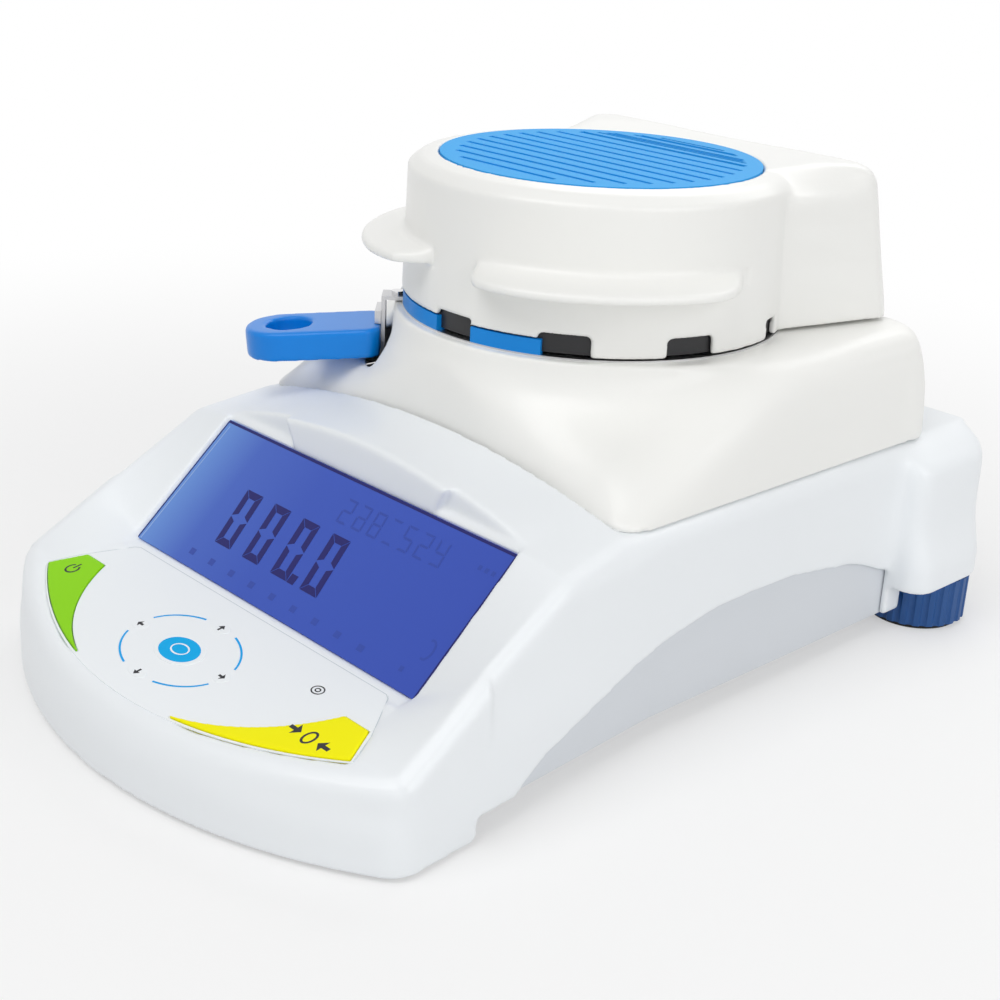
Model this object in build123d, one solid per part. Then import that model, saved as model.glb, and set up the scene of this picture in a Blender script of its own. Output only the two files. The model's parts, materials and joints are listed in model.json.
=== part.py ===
from build123d import *
import math
import os

# Moisture analyzer, millimetres, +Z up, front towards -Y, symmetric about X = 0.
os.makedirs("parts", exist_ok=True)

# Main body
FRONT_Y = -181.6
REAR_Y = 169.0
FLANGE_T = 2.6
SIDE_REAR = 105.0
SIDE_MID = 112.5
SIDE_FRONT = 115.0
CORNER_Y = -143.0
SKIRT_Z = 1.5
TOP_Z = 82.0
WALL = 3.0
SEAM_Y = -37.0

# Sloping front: stations from front to rear, each with its y, the centre height (or None
# for a flat middle), the height at FLAT_X, then the shoulder's x and height
FLAT_X = 83.0
TOE_Y = -141.0
KNEE_Y = -112.0
BROW_Y = -69.0
TOE = (TOE_Y, None, 34.38, 109.0, 34.6)
STEP = (-127.0, None, 36.85, 108.0, 43.0)
KNEE = (KNEE_Y, None, 41.0, 106.5, 52.5)
BROW = (BROW_Y, 93.0, 80.0, 103.0, 77.2)
SEAM = (SEAM_Y, 95.0, 86.2, 98.4, 82.4)
RIM_A = (1.8, 1.9)
RIM_B = (6.0, 5.5)

# Display
DISP_HALF = 82.4
DISP_FRONT = (-112.3, 39.5)
DISP_REAR = (-69.0, 78.2)
GLASS_T = 2.0

# Keypad
KEY_TILT = 10.0
KEY_Y = -146.0
KEY_Z = 33.5
PAD_SHEET = 0.5
KEY_PROUD = 0.7
KEY_DEPTH = 3.2
KEY_GAP = 0.3
KEY_TRAVEL = 0.5
NAV_X = -1.5
NAV_Y = 1.0
NAV_DX = 25.0
NAV_DY = 17.0

# Lower housing
TRAY_Z = 9.4
TRAY_TOP = 46.0
TRAY_WALL = 2.5
FLOOR_T = 3.0

# Levelling feet
FOOT_X = 98.0
FOOT_Y = 150.6
FOOT_R = 21.0
FOOT_TOP = 21.3
PAD_T = 1.7
STUD_R = 4.0
RUN_GAP = 0.05
BODY_GAP = 0.3

# Deck and lid
DECK_HALF = 101.5
DECK_REAR = 136.0
DECK_TOP = 125.0
LID_X = 0.0
LID_Y = 45.3
LID_R0 = 74.5
LID_R1 = 73.1
LID_Z0 = 126.0
LID_Z1 = 179.4
LID_TOP = 184.2
VENT_R = 61.2
LID_WALL = 2.5
TOWER_HALF = 78.0
TOWER_TOP_HALF = 76.5
TOWER_REAR = 130.0
TOWER_TOP_REAR = 119.0
TOWER_TOP = 186.0
WING_R = 92.0
WING_Z = 149.5
WING_T = 3.0
WING_RISE = 3.4
CHAMBER_R = 64.0

# Hinge
HINGE_Y = 143.0
HINGE_Z = 121.0
KNUCKLE_R = 5.0
PIN_R = 2.5
ARM_X = 44.0
ARM_W = 12.0

# Pan lifter
LIFT_ANGLE = -43.0
HANDLE_R0 = 82.0
HANDLE_R1 = 136.0
HANDLE_W = 31.0
HANDLE_TOP = 116.5
HANDLE_DROOP = 5.0


def yz_prism(points, x0, x1):
    wire = Polyline(*[(x0, y, z) for y, z in points], close=True)
    return extrude(make_face(wire), amount=x1 - x0, dir=(1, 0, 0))


def box(x0, x1, y0, y1, z0, z1):
    return Pos((x0 + x1) / 2, (y0 + y1) / 2, (z0 + z1) / 2) * Box(x1 - x0, y1 - y0, z1 - z0)


def rod(x, y, z0, z1, r):
    return Pos(x, y, (z0 + z1) / 2) * Cylinder(r, z1 - z0)


def ring(x, y, z0, z1, r0, r1):
    return rod(x, y, z0, z1, r1) - rod(x, y, z0 - 1, z1 + 1, r0)


def both(shape):
    return shape + mirror(shape, about=Plane.YZ)


def arch_section(y, spec, low, inset=0.0):
    centre, flat_z, crest_x, crest_z = spec
    flat_z = flat_z - inset
    crest_z = crest_z - inset
    crest_x = crest_x - inset
    out = [(FLAT_X, flat_z), (crest_x, crest_z), (crest_x + RIM_B[0] - RIM_A[0], crest_z - RIM_A[1]),
           (crest_x + RIM_B[0] + 4, crest_z - RIM_B[1] - 8), (crest_x + RIM_B[0] + 4, low)]
    right = [(x, y, z) for x, z in out]
    left = [(-x, y, z) for x, z in reversed(out)]
    if centre is None:
        top = Line(left[-1], right[0])
    else:
        top = ThreePointArc(left[-1], (0, y, centre - inset), right[0])
    return make_face(top + Polyline(*right, *left))


def plan_outline(inset, grow_y=0.0):
    """Plan of the body at its outer wall, drawn in by the inset."""
    arc = ThreePointArc((-SIDE_FRONT, CORNER_Y), (0, FRONT_Y), (SIDE_FRONT, CORNER_Y))
    right = [(SIDE_FRONT, CORNER_Y), (SIDE_MID, KNEE_Y), (SIDE_REAR, -20), (SIDE_REAR, REAR_Y)]
    left = [(-x, y) for x, y in reversed(right)]
    face = make_face(arc + Polyline(*right, *left))
    front = face.vertices().filter_by_position(Axis.Y, CORNER_Y - 1, CORNER_Y + 1)
    face = fillet(front, 12)
    rear = face.vertices().filter_by_position(Axis.Y, REAR_Y - 1, REAR_Y + 1)
    face = fillet(rear, 9)
    if inset > 0:
        face = offset(face, amount=-inset)
    return face


def plan_prism(inset, z0, z1):
    return Pos(0, 0, z0) * extrude(plan_outline(inset), amount=z1 - z0, dir=(0, 0, 1))


def front_cap(inset):
    """Keypad deck in front of the shoulders: tilted top with a rolled rim."""
    cap = None
    steps = [(-RIM_B[1] - 22, 0.0), (-RIM_B[1], 0.0), (-RIM_A[1], RIM_A[0]), (0.0, RIM_B[0])]
    turn = Pos(0, KEY_Y, KEY_Z - inset) * Rot(KEY_TILT, 0, 0) * Pos(0, -KEY_Y, 0)
    for (z0, i0), (z1, i1) in zip(steps, steps[1:]):
        low = Pos(0, 0, z0) * plan_outline(inset + i0)
        high = Pos(0, 0, z1) * plan_outline(inset + i1)
        layer = loft([low, high], ruled=True)
        cap = layer if cap is None else cap + layer
    return (turn * cap) & box(-150, 150, FRONT_Y - 20, TOE_Y + 0.2, -40, 60)


def body_form(inset, low):
    """Outer form of the main body, drawn in by the inset and open down to low."""
    stations = [TOE, STEP, KNEE, BROW, SEAM]
    form = None
    for a, b in zip(stations, stations[1:]):
        sections = [arch_section(a[0], a[1:], low, inset), arch_section(b[0], b[1:], low, inset)]
        piece = loft(sections, ruled=True)
        form = piece if form is None else form + piece
    rear = (None, TOP_Z, SIDE_REAR - RIM_B[0], TOP_Z)
    section = arch_section(SEAM_Y, rear, low, inset)
    form = form + extrude(section, amount=REAR_Y + 5 - SEAM_Y, dir=(0, 1, 0))
    base = box(-150, 150, FRONT_Y - 5, TOE_Y + 0.2, low, 20 - inset)
    form = form + base + front_cap(inset)
    return form & plan_prism(inset, low, 110)


def display_plane():
    y = (DISP_FRONT[0] + DISP_REAR[0]) / 2
    z = (DISP_FRONT[1] + DISP_REAR[1]) / 2
    dy = DISP_REAR[0] - DISP_FRONT[0]
    dz = DISP_REAR[1] - DISP_FRONT[1]
    return Plane(origin=(0, y, z), x_dir=(1, 0, 0), z_dir=(0, -dz, dy))


DISP_LEN = math.hypot(DISP_REAR[0] - DISP_FRONT[0], DISP_REAR[1] - DISP_FRONT[1])
TILT = math.radians(KEY_TILT)
KEY_PLANE = Plane(origin=(0, KEY_Y, KEY_Z), x_dir=(1, 0, 0), z_dir=(0, -math.sin(TILT), math.cos(TILT)))


def on_display(w, d, z0, z1, dx=0, dy=0):
    block = Pos(dx, dy, (z0 + z1) / 2) * Box(w, d, z1 - z0)
    return display_plane().location * block


def pad_outline(inset=0.0):
    arc = ThreePointArc((-93.5, 1), (0, -27.4), (93.5, 1))
    line = Polyline((93.5, 1), (87.4, 13.5), (74.5, 31), (-74.5, 31), (-87.4, 13.5), (-93.5, 1))
    face = make_face(arc + line)
    if inset > 0:
        face = offset(face, amount=-inset)
    return face


def circle_through(p, q, r):
    """Centre and radius of the circle through three points."""
    ax, ay, bx, by, cx, cy = *p, *q, *r
    d = 2 * (ax * (by - cy) + bx * (cy - ay) + cx * (ay - by))
    a2 = ax * ax + ay * ay
    b2 = bx * bx + by * by
    c2 = cx * cx + cy * cy
    ux = (a2 * (by - cy) + b2 * (cy - ay) + c2 * (ay - by)) / d
    uy = (a2 * (cx - bx) + b2 * (ax - cx) + c2 * (bx - ax)) / d
    return ux, uy, math.hypot(ax - ux, ay - uy)


def side_key_outline(side, grow):
    """Crescent key along the front rim of the keypad, widest at its outer end."""
    ox, oy, outer = circle_through((-91, 0), (0, -26.4), (91, 0))
    ix, iy, inner = circle_through((-28.3, -23.0), (-53.6, -9.8), (-72.3, 13.4))
    face = Pos(ox, oy) * Circle(outer - 0.6 + grow) - Pos(ix, iy) * Circle(inner - grow)
    turn = math.degrees(math.atan2(14.0, 7.5))
    window = Pos(-60.3, -13) * Rectangle(62.4 + 2 * grow, 54.4 + 2 * grow)
    trim = Pos(-92.2 - grow, 0) * (Rot(0, 0, turn) * Pos(0, 30) * Rectangle(200, 60))
    face = (face & window) - trim
    face = face.faces().sort_by(SortBy.AREA)[-1]
    if side > 0:
        face = mirror(face, about=Plane.YZ)
    return face


def oval(x, y, a, b):
    return Pos(x, y) * Ellipse(a, b)


def key_outlines(grow=0.0):
    return {
        "key_green": side_key_outline(-1, grow),
        "key_yellow": side_key_outline(1, grow),
        "key_enter": oval(NAV_X, NAV_Y, 11.2 + grow, 7.4 + grow),
        "key_left": oval(NAV_X - NAV_DX, NAV_Y, 3.1 + grow, 2.6 + grow),
        "key_right": oval(NAV_X + NAV_DX, NAV_Y, 3.1 + grow, 2.6 + grow),
        "key_up": oval(NAV_X, NAV_Y + NAV_DY, 4.2 + grow, 2.0 + grow),
        "key_down": oval(NAV_X, NAV_Y - NAV_DY, 4.2 + grow, 2.0 + grow),
    }


def pad_slab(face, z0, z1):
    return KEY_PLANE.location * (Pos(0, 0, z0) * extrude(face, amount=z1 - z0, dir=(0, 0, 1)))


def upper_housing():
    shell = body_form(0, SKIRT_Z)
    # rear corner pillars over the levelling feet
    pillar = box(SIDE_REAR - 20, 120, 118, REAR_Y, FOOT_TOP + 0.5, TOP_Z)
    slope = Plane(origin=(SIDE_REAR - RIM_B[0], 0, TOP_Z), x_dir=(0, 1, 0), z_dir=(0.42, 0, 1))
    pillar = pillar - slope.location * (Pos(0, 0, 25) * Box(500, 60, 50))
    outer = pillar.edges().filter_by(Axis.Z).filter_by_position(Axis.X, 119.5, 120.5)
    pillar = fillet(outer.sort_by(Axis.Y)[-1], 16)
    outer = pillar.edges().filter_by(Axis.Z).filter_by_position(Axis.X, 119.5, 120.5)
    pillar = fillet(outer.sort_by(Axis.Y)[0], 9)
    shell = shell + both(pillar)
    hollow = body_form(WALL, -5)
    hollow = hollow - pad_slab(pad_outline(), -7.5, 3)
    # frame under the display and the wall behind its recess
    hollow = hollow - on_display(DISP_HALF * 2 + 6, DISP_LEN + 6, -6.5, 4)
    hollow = hollow - box(-DISP_HALF - 3, DISP_HALF + 3, -66.1, -62.5, 60, 120)
    shell = shell - hollow
    # display recess with its upright rear wall
    edge_y = DISP_FRONT[0] - 0.3
    recess = [(-119, 38.4), (edge_y, DISP_FRONT[1] - 0.27), (-66, 80.9), (-66, 125), (-119, 125)]
    shell = shell - yz_prism(recess, -DISP_HALF - 0.3, DISP_HALF + 0.3)
    shell = shell - on_display(DISP_HALF * 2 + 0.6, DISP_LEN + 0.6, -GLASS_T - 0.3, 4)
    shell = shell - on_display(150, 46, -12, 4)
    shell = shell - pad_slab(pad_outline(), -PAD_SHEET, 30)
    # visor above the display, flush with the sloping front
    face = make_face(Polyline((-40, -69.4, 78.5), (40, -69.4, 78.5), (47, -69.4, 90.5), (47, -69.4, 99),
                              (-47, -69.4, 99), (-47, -69.4, 90.5), close=True))
    visor = extrude(face, amount=5, dir=(0, 1, 0)) & body_form(0, SKIRT_Z)
    visor = visor - on_display(DISP_HALF * 2 + 0.6, DISP_LEN + 0.6, -9, 0.0)
    shell = shell + visor
    # raised arches along both sides
    arch = [(-112, -5), (-112, SKIRT_Z), (-95.5, 7.7), (-80, 18.5), (-62, 25), (-34, 35), (-14, 40),
            (7, 44), (29, 45), (53, 44.5), (78, 41), (100, 35), (118, 29), (118, -5)]
    for x0, x1 in ((-130, -90), (90, 130)):
        shell = shell - yz_prism(arch, x0, x1)
    shell = shell - box(-130, 130, -110, REAR_Y + 5, -5, TRAY_Z)
    for s in (-1, 1):
        shell = shell - rod(s * FOOT_X, FOOT_Y, -5, FOOT_TOP + 0.5, FOOT_R + 1.5)
    # chamber opening through the top
    shell = shell - rod(LID_X, LID_Y, 60, 110, CHAMBER_R + 6)
    for outline in key_outlines(KEY_GAP).values():
        shell = shell - pad_slab(outline, -KEY_DEPTH - 1.0, 5)
    # rear openings
    for cut in REAR_CUTS:
        shell = shell - cut
    for i in range(9):
        z = 52 + i * 3.0
        shell = shell - box(-86, -46, REAR_Y - 6, REAR_Y + 3, z, z + 1.4)
    return shell


INLET_X = -40.0
INLET_Z = 36.0
SWITCH_X = -72.0
SWITCH_W = 13.0
SWITCH_H = 20.0
PORT_X = (35.0, 75.0)
PORT_Z = 36.0
REAR_CUTS = [
    box(INLET_X - 13.5, INLET_X + 13.5, REAR_Y - 20, REAR_Y + 5, INLET_Z - 10, INLET_Z + 10),
    box(SWITCH_X - 8, SWITCH_X + 8, REAR_Y - 20, REAR_Y + 5, INLET_Z - 11.5, INLET_Z + 11.5),
    box(PORT_X[0] - 12, PORT_X[0] + 12, REAR_Y - 20, REAR_Y + 5, PORT_Z - 6, PORT_Z + 6),
    Pos(PORT_X[1], REAR_Y, PORT_Z) * (Rot(90, 0, 0) * Cylinder(7, 40)),
]


def lower_housing():
    tray = body_form(WALL, TRAY_Z) & box(-150, 150, -250, 250, TRAY_Z, TRAY_TOP)
    inner = body_form(WALL + TRAY_WALL, TRAY_Z) & box(-150, 150, -250, 250, TRAY_Z + FLOOR_T, 120)
    tray = tray - inner
    tray = tray - (pad_slab(pad_outline(), -8, 5) + on_display(DISP_HALF * 2 + 6, DISP_LEN + 6, -16, 9))
    for s in (-1, 1):
        cup = rod(s * FOOT_X, FOOT_Y, TRAY_Z, FOOT_TOP + 3.5, FOOT_R + 4) & body_form(WALL, TRAY_Z)
        tray = tray + cup + rod(s * FOOT_X, FOOT_Y, FOOT_TOP, FOOT_TOP + 18, STUD_R + 5)
    tray = tray & body_form(WALL, TRAY_Z)
    for s in (-1, 1):
        tray = tray - rod(s * FOOT_X, FOOT_Y, 0, FOOT_TOP + 0.5, FOOT_R + 1.5)
        tray = tray - rod(s * FOOT_X, FOOT_Y, 0, FOOT_TOP + 15, STUD_R + RUN_GAP)
    for x, y in MAIN_POSTS:
        tray = tray + rod(x, y, TRAY_Z + FLOOR_T, BOARD_Z, 3.5)
    for x, y in PAD_POSTS:
        tray = tray + rod(x, y, TRAY_Z + FLOOR_T, PADBOARD_Z, 3)
    for cut in REAR_CUTS:
        tray = tray - cut
    for i in range(10):
        tray = tray - box(-22 + i * 5, -20 + i * 5, 95, 140, TRAY_Z - 1, TRAY_Z + FLOOR_T + 1)
    for x, y in SCREWS:
        tray = tray - rod(x, y, TRAY_Z - 1, TRAY_Z + 1.6, 3.2)
    return tray


BOARD_Z = 20.0
PADBOARD_Z = 16.5
MAIN_POSTS = [(32, -20), (88, -20), (32, 105), (88, 105)]
PAD_POSTS = [(-55, -134), (55, -134), (-45, -158), (45, -158)]
SCREWS = [(-90, -120), (90, -120), (-90, 30), (90, 30), (-60, 155), (60, 155)]


def rounded_face(z, x, y0, y1, r_front, r_rear):
    pts = [(-x, y0), (x, y0), (x, y1), (-x, y1)]
    face = make_face(Polyline(*pts, close=True))
    front = face.vertices().filter_by_position(Axis.Y, y0 - 0.1, y0 + 0.1)
    face = fillet(front, r_front)
    rear = face.vertices().filter_by_position(Axis.Y, y1 - 0.1, y1 + 0.1)
    face = fillet(rear, r_rear)
    return Pos(0, 0, z) * face


DECK_SIDE = [(TOP_Z, 101.0, -36.9, 9, 14), (103.0, 96.5, -35.5, 14, 15), (115.0, 92.5, -34.5, 18, 17),
             (122.0, 88.0, -33.5, 20, 18), (DECK_TOP, 83.0, -32.5, 22, 19)]


def deck_form(inset):
    levels = []
    for z, half, y0, r_front, r_rear in DECK_SIDE:
        drop = inset if z == DECK_TOP else 0
        levels.append(rounded_face(z - drop, half - inset, y0 + inset, DECK_REAR - inset, r_front, r_rear))
    block = None
    for low, high in zip(levels, levels[1:]):
        layer = loft([low, high], ruled=True)
        block = layer if block is None else block + layer
    section = arch_section(0, (SEAM[1], SEAM[2], SEAM[3] + 5, SEAM[4] - 2.1), 60, inset)
    saddle = Pos(0, 200, 0) * extrude(section, amount=300, dir=(0, -1, 0))
    drop = inset
    boss = make_face(Polyline((0, 0, 60), (125, 0, 60), (125, 0, 84 - drop), (108 - inset, 0, 89 - drop))
                     + Spline((108 - inset, 0, 89 - drop), (92 - inset, 0, 98 - drop),
                              (83 - inset, 0, 109 - drop), (77.5 - inset, 0, DECK_TOP - drop))
                     + Polyline((77.5 - inset, 0, DECK_TOP - drop), (0, 0, DECK_TOP - drop), (0, 0, 60)))
    boss = Pos(LID_X, LID_Y, 0) * revolve(boss, axis=Axis.Z)
    rise = [(-36, 60), (-36, 84), (-5, 97), (25, 112), (50, 121.5), (75, DECK_TOP), (200, DECK_TOP), (200, 60)]
    ramp = yz_prism([(y + inset * 0.6, z - inset * 0.8) for y, z in rise], -130, 130)
    return block & (saddle + boss + ramp)


def deck_cover():
    inner = deck_form(2.5)
    cover = deck_form(0) - (inner + Pos(0, 0, -2.5) * inner)
    cover = cover - rod(LID_X, LID_Y, 60, 140, CHAMBER_R)
    # channel that clears the lifter's leg and handle
    channel = box(HANDLE_R0 - 5, HANDLE_R1 + 8, -HANDLE_W / 2 - 3, HANDLE_W / 2 + 3, 100, 140)
    cover = cover - lifter_place(channel)
    return cover


def lifter_place(shape):
    """Turn a shape built along +X so that it points along the lifter's direction."""
    return Pos(LID_X, LID_Y, 0) * (Rot(0, 0, LIFT_ANGLE - 90) * shape)


def chamber_liner():
    cup = ring(LID_X, LID_Y, 92, DECK_TOP, CHAMBER_R - 1, CHAMBER_R)
    cup = cup + ring(LID_X, LID_Y, 92, 93, 9, CHAMBER_R)
    cup = cup + ring(LID_X, LID_Y, DECK_TOP, DECK_TOP + 0.6, CHAMBER_R - 1, 74)
    return cup


def wedge(a0, a1, r, z0, z1):
    pts = [(0, 0)]
    steps = 8
    for i in range(steps + 1):
        a = math.radians(a0 + (a1 - a0) * i / steps)
        pts.append((r * math.sin(a), -r * math.cos(a)))
    sector = extrude(make_face(Polyline(*pts, close=True)), amount=z1 - z0)
    return Pos(LID_X, LID_Y, z0) * sector


RING_SPAN = (-76, 30)
LID_NOTCHES = [(-6.0, 8.0, 137.0), (30.2, 45.0, 134.5), (69.0, 83.5, 133.0), (104.5, 111.5, 133.0)]


def chamber_ring():
    z0 = DECK_TOP + 0.6
    band = ring(LID_X, LID_Y, z0, z0 + 5.6, 70.3, 74)
    band = band & wedge(RING_SPAN[0], RING_SPAN[1], 120, z0 - 1, z0 + 10)
    band = band - wedge(LIFT_ANGLE - 7, LIFT_ANGLE + 7, 120, z0 - 1, z0 + 10)
    band = band - wedge(LID_NOTCHES[0][0], LID_NOTCHES[0][1], 120, z0 - 1, z0 + 10)
    return band


def lid_shell():
    profile = [(LID_R0, LID_Z0), (LID_R1, LID_Z1), (68.5, 183.0), (VENT_R + 0.4, LID_TOP),
               (VENT_R + 0.4, 181.0), (58, 181.0), (58, 178.6), (66, 178.0), (70.4, 174.5),
               (71.5, 145.0), (67, 145.0), (67, 143.0), (71.55, 143.0), (72.0, LID_Z0)]
    face = make_face(Polyline(*[(r, 0, z) for r, z in profile], close=True))
    shell = Pos(LID_X, LID_Y, 0) * revolve(face, axis=Axis.Z)
    for a0, a1 in ((9, 92), (-92, -9)):
        rim = make_face(Polyline((LID_R1 - 1, 0, WING_Z), (WING_R, 0, WING_Z), (WING_R, 0, WING_Z + WING_T),
                                 (LID_R1 - 1, 0, WING_Z + WING_T + WING_RISE), close=True))
        rim = Pos(LID_X, LID_Y, 0) * revolve(rim, axis=Axis.Z)
        wing = rim & wedge(a0, a1, 160, WING_Z - 1, WING_Z + WING_T + WING_RISE + 1)
        upright = wing.edges().filter_by(Axis.Z).sort_by_distance((LID_X, LID_Y, WING_Z))[-2:]
        wing = fillet(upright, 10)
        shell = shell + wing
    low = LID_Z0 - 1
    shell = shell - wedge(RING_SPAN[0] - 1, RING_SPAN[1], 120, low, LID_Z0 + 5.6)
    for a0, a1, top in LID_NOTCHES:
        shell = shell - wedge(a0, a1, 120, low, top)
    return shell


def tower_form(inset):
    low = rounded_face(LID_Z0, TOWER_HALF - inset, 20, TOWER_REAR - inset, 5, 20)
    high = rounded_face(TOWER_TOP - inset, TOWER_TOP_HALF - inset, 20, TOWER_TOP_REAR - inset, 5, 20)
    return loft([low, high], ruled=True)


def lid_tower():
    clear = rod(LID_X, LID_Y, 100, LID_Z0, LID_R0 + 0.05) + rod(LID_X, LID_Y, LID_Z1, 200, LID_R1 + 0.05)
    middle = Cone(LID_R0 + 0.05, LID_R1 + 0.05, LID_Z1 - LID_Z0)
    clear = clear + Pos(LID_X, LID_Y, (LID_Z0 + LID_Z1) / 2) * middle
    tower = tower_form(0) - tower_form(2.5).moved(Location((0, 0, -0.01)))
    roof = tower_form(0) & box(-100, 100, LID_Y, 200, LID_Z0, LID_Z0 + 2.5)
    tower = (tower + roof) & box(-100, 100, 50, 200, 100, 190)
    tower = tower - clear
    for s in (-1, 1):
        x0 = s * ARM_X - ARM_W / 2
        x1 = s * ARM_X + ARM_W / 2
        arm = box(x0, x1, 126, HINGE_Y + KNUCKLE_R, LID_Z0, LID_Z0 + 5)
        arm = arm + box(x0, x1, HINGE_Y - KNUCKLE_R, HINGE_Y + KNUCKLE_R, HINGE_Z, LID_Z0 + 2)
        knuckle = Pos(s * ARM_X, HINGE_Y, HINGE_Z) * (Rot(0, 90, 0) * Cylinder(KNUCKLE_R, ARM_W))
        tower = tower + arm + knuckle
        bore = Pos(s * ARM_X, HINGE_Y, HINGE_Z) * (Rot(0, 90, 0) * Cylinder(PIN_R + RUN_GAP, ARM_W + 2))
        tower = tower - bore
    return tower


def hinge_bracket():
    part = box(-60, 60, 137.5, 152, TOP_Z, TOP_Z + 3)
    for s in (-1, 1):
        for side in (-1, 1):
            inner = ARM_W / 2 + BODY_GAP
            xa = s * ARM_X + side * inner
            xb = s * ARM_X + side * (inner + 6)
            x0 = min(xa, xb)
            x1 = max(xa, xb)
            part = part + box(x0, x1, HINGE_Y - 4, HINGE_Y + 4, TOP_Z, HINGE_Z)
            eye = Pos((x0 + x1) / 2, HINGE_Y, HINGE_Z) * (Rot(0, 90, 0) * Cylinder(KNUCKLE_R, 6))
            part = part + eye
        bore = Pos(s * ARM_X, HINGE_Y, HINGE_Z) * (Rot(0, 90, 0) * Cylinder(PIN_R, 40))
        part = part - bore
    return part


def hinge_pins():
    length = ARM_W + 2 * BODY_GAP + 13
    pin = Pos(ARM_X, HINGE_Y, HINGE_Z) * (Rot(0, 90, 0) * Cylinder(PIN_R, length))
    return both(pin)


def vent_disc():
    disc = rod(LID_X, LID_Y, 181.0, LID_TOP, VENT_R)
    disc = disc + rod(LID_X, LID_Y, 178.5, 181.0, 57.8)
    count = 13
    pitch = 8.2
    for i in range(count):
        y = (i - (count - 1) / 2) * pitch
        half = math.sqrt(max(56.0 ** 2 - y ** 2, 0)) - 2
        if half > 8:
            disc = disc - box(-half, half, LID_Y + y - 1.1, LID_Y + y + 1.1, LID_TOP - 2.2, LID_TOP + 1)
    for i in range(5):
        y = 34 + i * 4.6
        half = math.sqrt(55.0 ** 2 - y ** 2)
        disc = disc - box(-half, half, LID_Y + y - 0.8, LID_Y + y + 0.8, 170, LID_TOP + 1)
    return disc


def heat_reflector():
    profile = [(71.3, 145.0), (71.1, 146.0), (64, 146.2), (58, 166), (14, 170), (14, 169), (57, 165),
               (62.8, 145.0)]
    face = make_face(Polyline(*[(r, 0, z) for r, z in profile], close=True))
    return Pos(LID_X, LID_Y, 0) * revolve(face, axis=Axis.Z)


def halogen_lamp():
    return Pos(LID_X, LID_Y, 153) * Torus(40, 5)


def lamp_holders():
    part = None
    for a in (0, 120, 240):
        x = LID_X + 40 * math.cos(math.radians(a))
        y = LID_Y + 40 * math.sin(math.radians(a))
        post = rod(x, y, 155, 166.0, 6) - Pos(LID_X, LID_Y, 153) * Torus(40, 5)
        part = post if part is None else part + post
    return part


def guard_ring():
    part = ring(LID_X, LID_Y, 137, 143, 62, 71.2)
    return part - rod(LID_X, LID_Y, 139, 142, 64.5)


def guard_glass():
    return rod(LID_X, LID_Y, 139, 142, 64.4)


def temperature_sensor():
    part = rod(LID_X + 66, LID_Y - 8, 130, 137, 2)
    return part


def sample_pan():
    pan = rod(LID_X, LID_Y, 112, 118, 48) - rod(LID_X, LID_Y, 112.6, 119, 47.4)
    return pan + ring(LID_X, LID_Y, 117.5, 118, 47, 49.5)


def pan_support():
    part = rod(LID_X, LID_Y, 60, 110, 3.5)
    for a in (0, 60, 120):
        arm = Rot(0, 0, a) * Box(88, 5, 2)
        part = part + Pos(LID_X, LID_Y, 111) * arm
    return part + rod(LID_X, LID_Y, 100, 110, 7)


def load_cell():
    part = box(-16, 16, -20, 70, 24, 60)
    for z in (36, 48):
        part = part - Pos(0, 25, z) * (Rot(0, 90, 0) * Cylinder(4, 80))
    return part


def cell_bracket():
    part = box(-24, 24, -32, 0, TRAY_Z + FLOOR_T, 24)
    return part + box(-24, 24, -32, -20, 24, 50)


def lifter_ring():
    part = Pos(0, 0, 0) * ring(0, 0, 110.4, 111.8, 49.8, 56)
    part = part + box(54, 61.5, -5, 5, 110.4, 111.8)
    part = part + box(60, 61.5, -5, 5, 110.4, 127.1)
    part = part + box(60, HANDLE_R0, -5, 5, 125.6, 127.1)
    part = part + box(HANDLE_R0 - 1.5, HANDLE_R0, -5, 5, 104, 127.1)
    return lifter_place(part)


def lifter_handle():
    z0 = HANDLE_TOP - 11.5
    part = box(HANDLE_R0, HANDLE_R1, -HANDLE_W / 2, HANDLE_W / 2, z0, HANDLE_TOP)
    upright = part.edges().filter_by(Axis.Z).filter_by_position(Axis.X, HANDLE_R1 - 1, HANDLE_R1 + 1)
    part = fillet(upright, 15)
    inner = part.edges().filter_by(Axis.Z).filter_by_position(Axis.X, HANDLE_R0 - 1, HANDLE_R0 + 1)
    part = fillet(inner, 6)
    top = part.faces().sort_by(Axis.Z)[-1].edges()
    part = fillet(top, 1.5)
    hinge = Pos(HANDLE_R0, 0, HANDLE_TOP)
    part = hinge * (Rot(0, HANDLE_DROOP, 0) * (Pos(-HANDLE_R0, 0, -HANDLE_TOP) * part))
    part = part - box(HANDLE_R0 - 20, HANDLE_R0, -30, 30, 60, 150)
    part = part - rod(118.5, 0, 80, 130, 9)
    return lifter_place(part)


def lifter_gasket():
    return lifter_place(box(HANDLE_R0, HANDLE_R0 + 2.4, -7, 7, HANDLE_TOP, HANDLE_TOP + 5))


def lifter_rivet():
    part = Pos(76, 0, 0) * rod(0, 0, 127.1, 128.4, 2.4)
    return lifter_place(part)


def front_feet():
    return both(rod(88, -128, 0, TRAY_Z, 9))


def foot_knob(side):
    x = side * FOOT_X
    z0 = PAD_T + BODY_GAP
    knob = rod(x, FOOT_Y, z0, FOOT_TOP, FOOT_R)
    for i in range(24):
        a = math.radians(i * 15)
        knob = knob - rod(x + (FOOT_R + 1.2) * math.cos(a), FOOT_Y + (FOOT_R + 1.2) * math.sin(a), 0, 40, 2)
    knob = knob - rod(x, FOOT_Y, 0, 16, 6 + RUN_GAP)
    return knob + rod(x, FOOT_Y, FOOT_TOP - 2, FOOT_TOP + 14, STUD_R)


def foot_pad(side):
    x = side * FOOT_X
    return rod(x, FOOT_Y, 0, PAD_T, FOOT_R - 2.5) + rod(x, FOOT_Y, 0, 14, 6)


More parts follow.
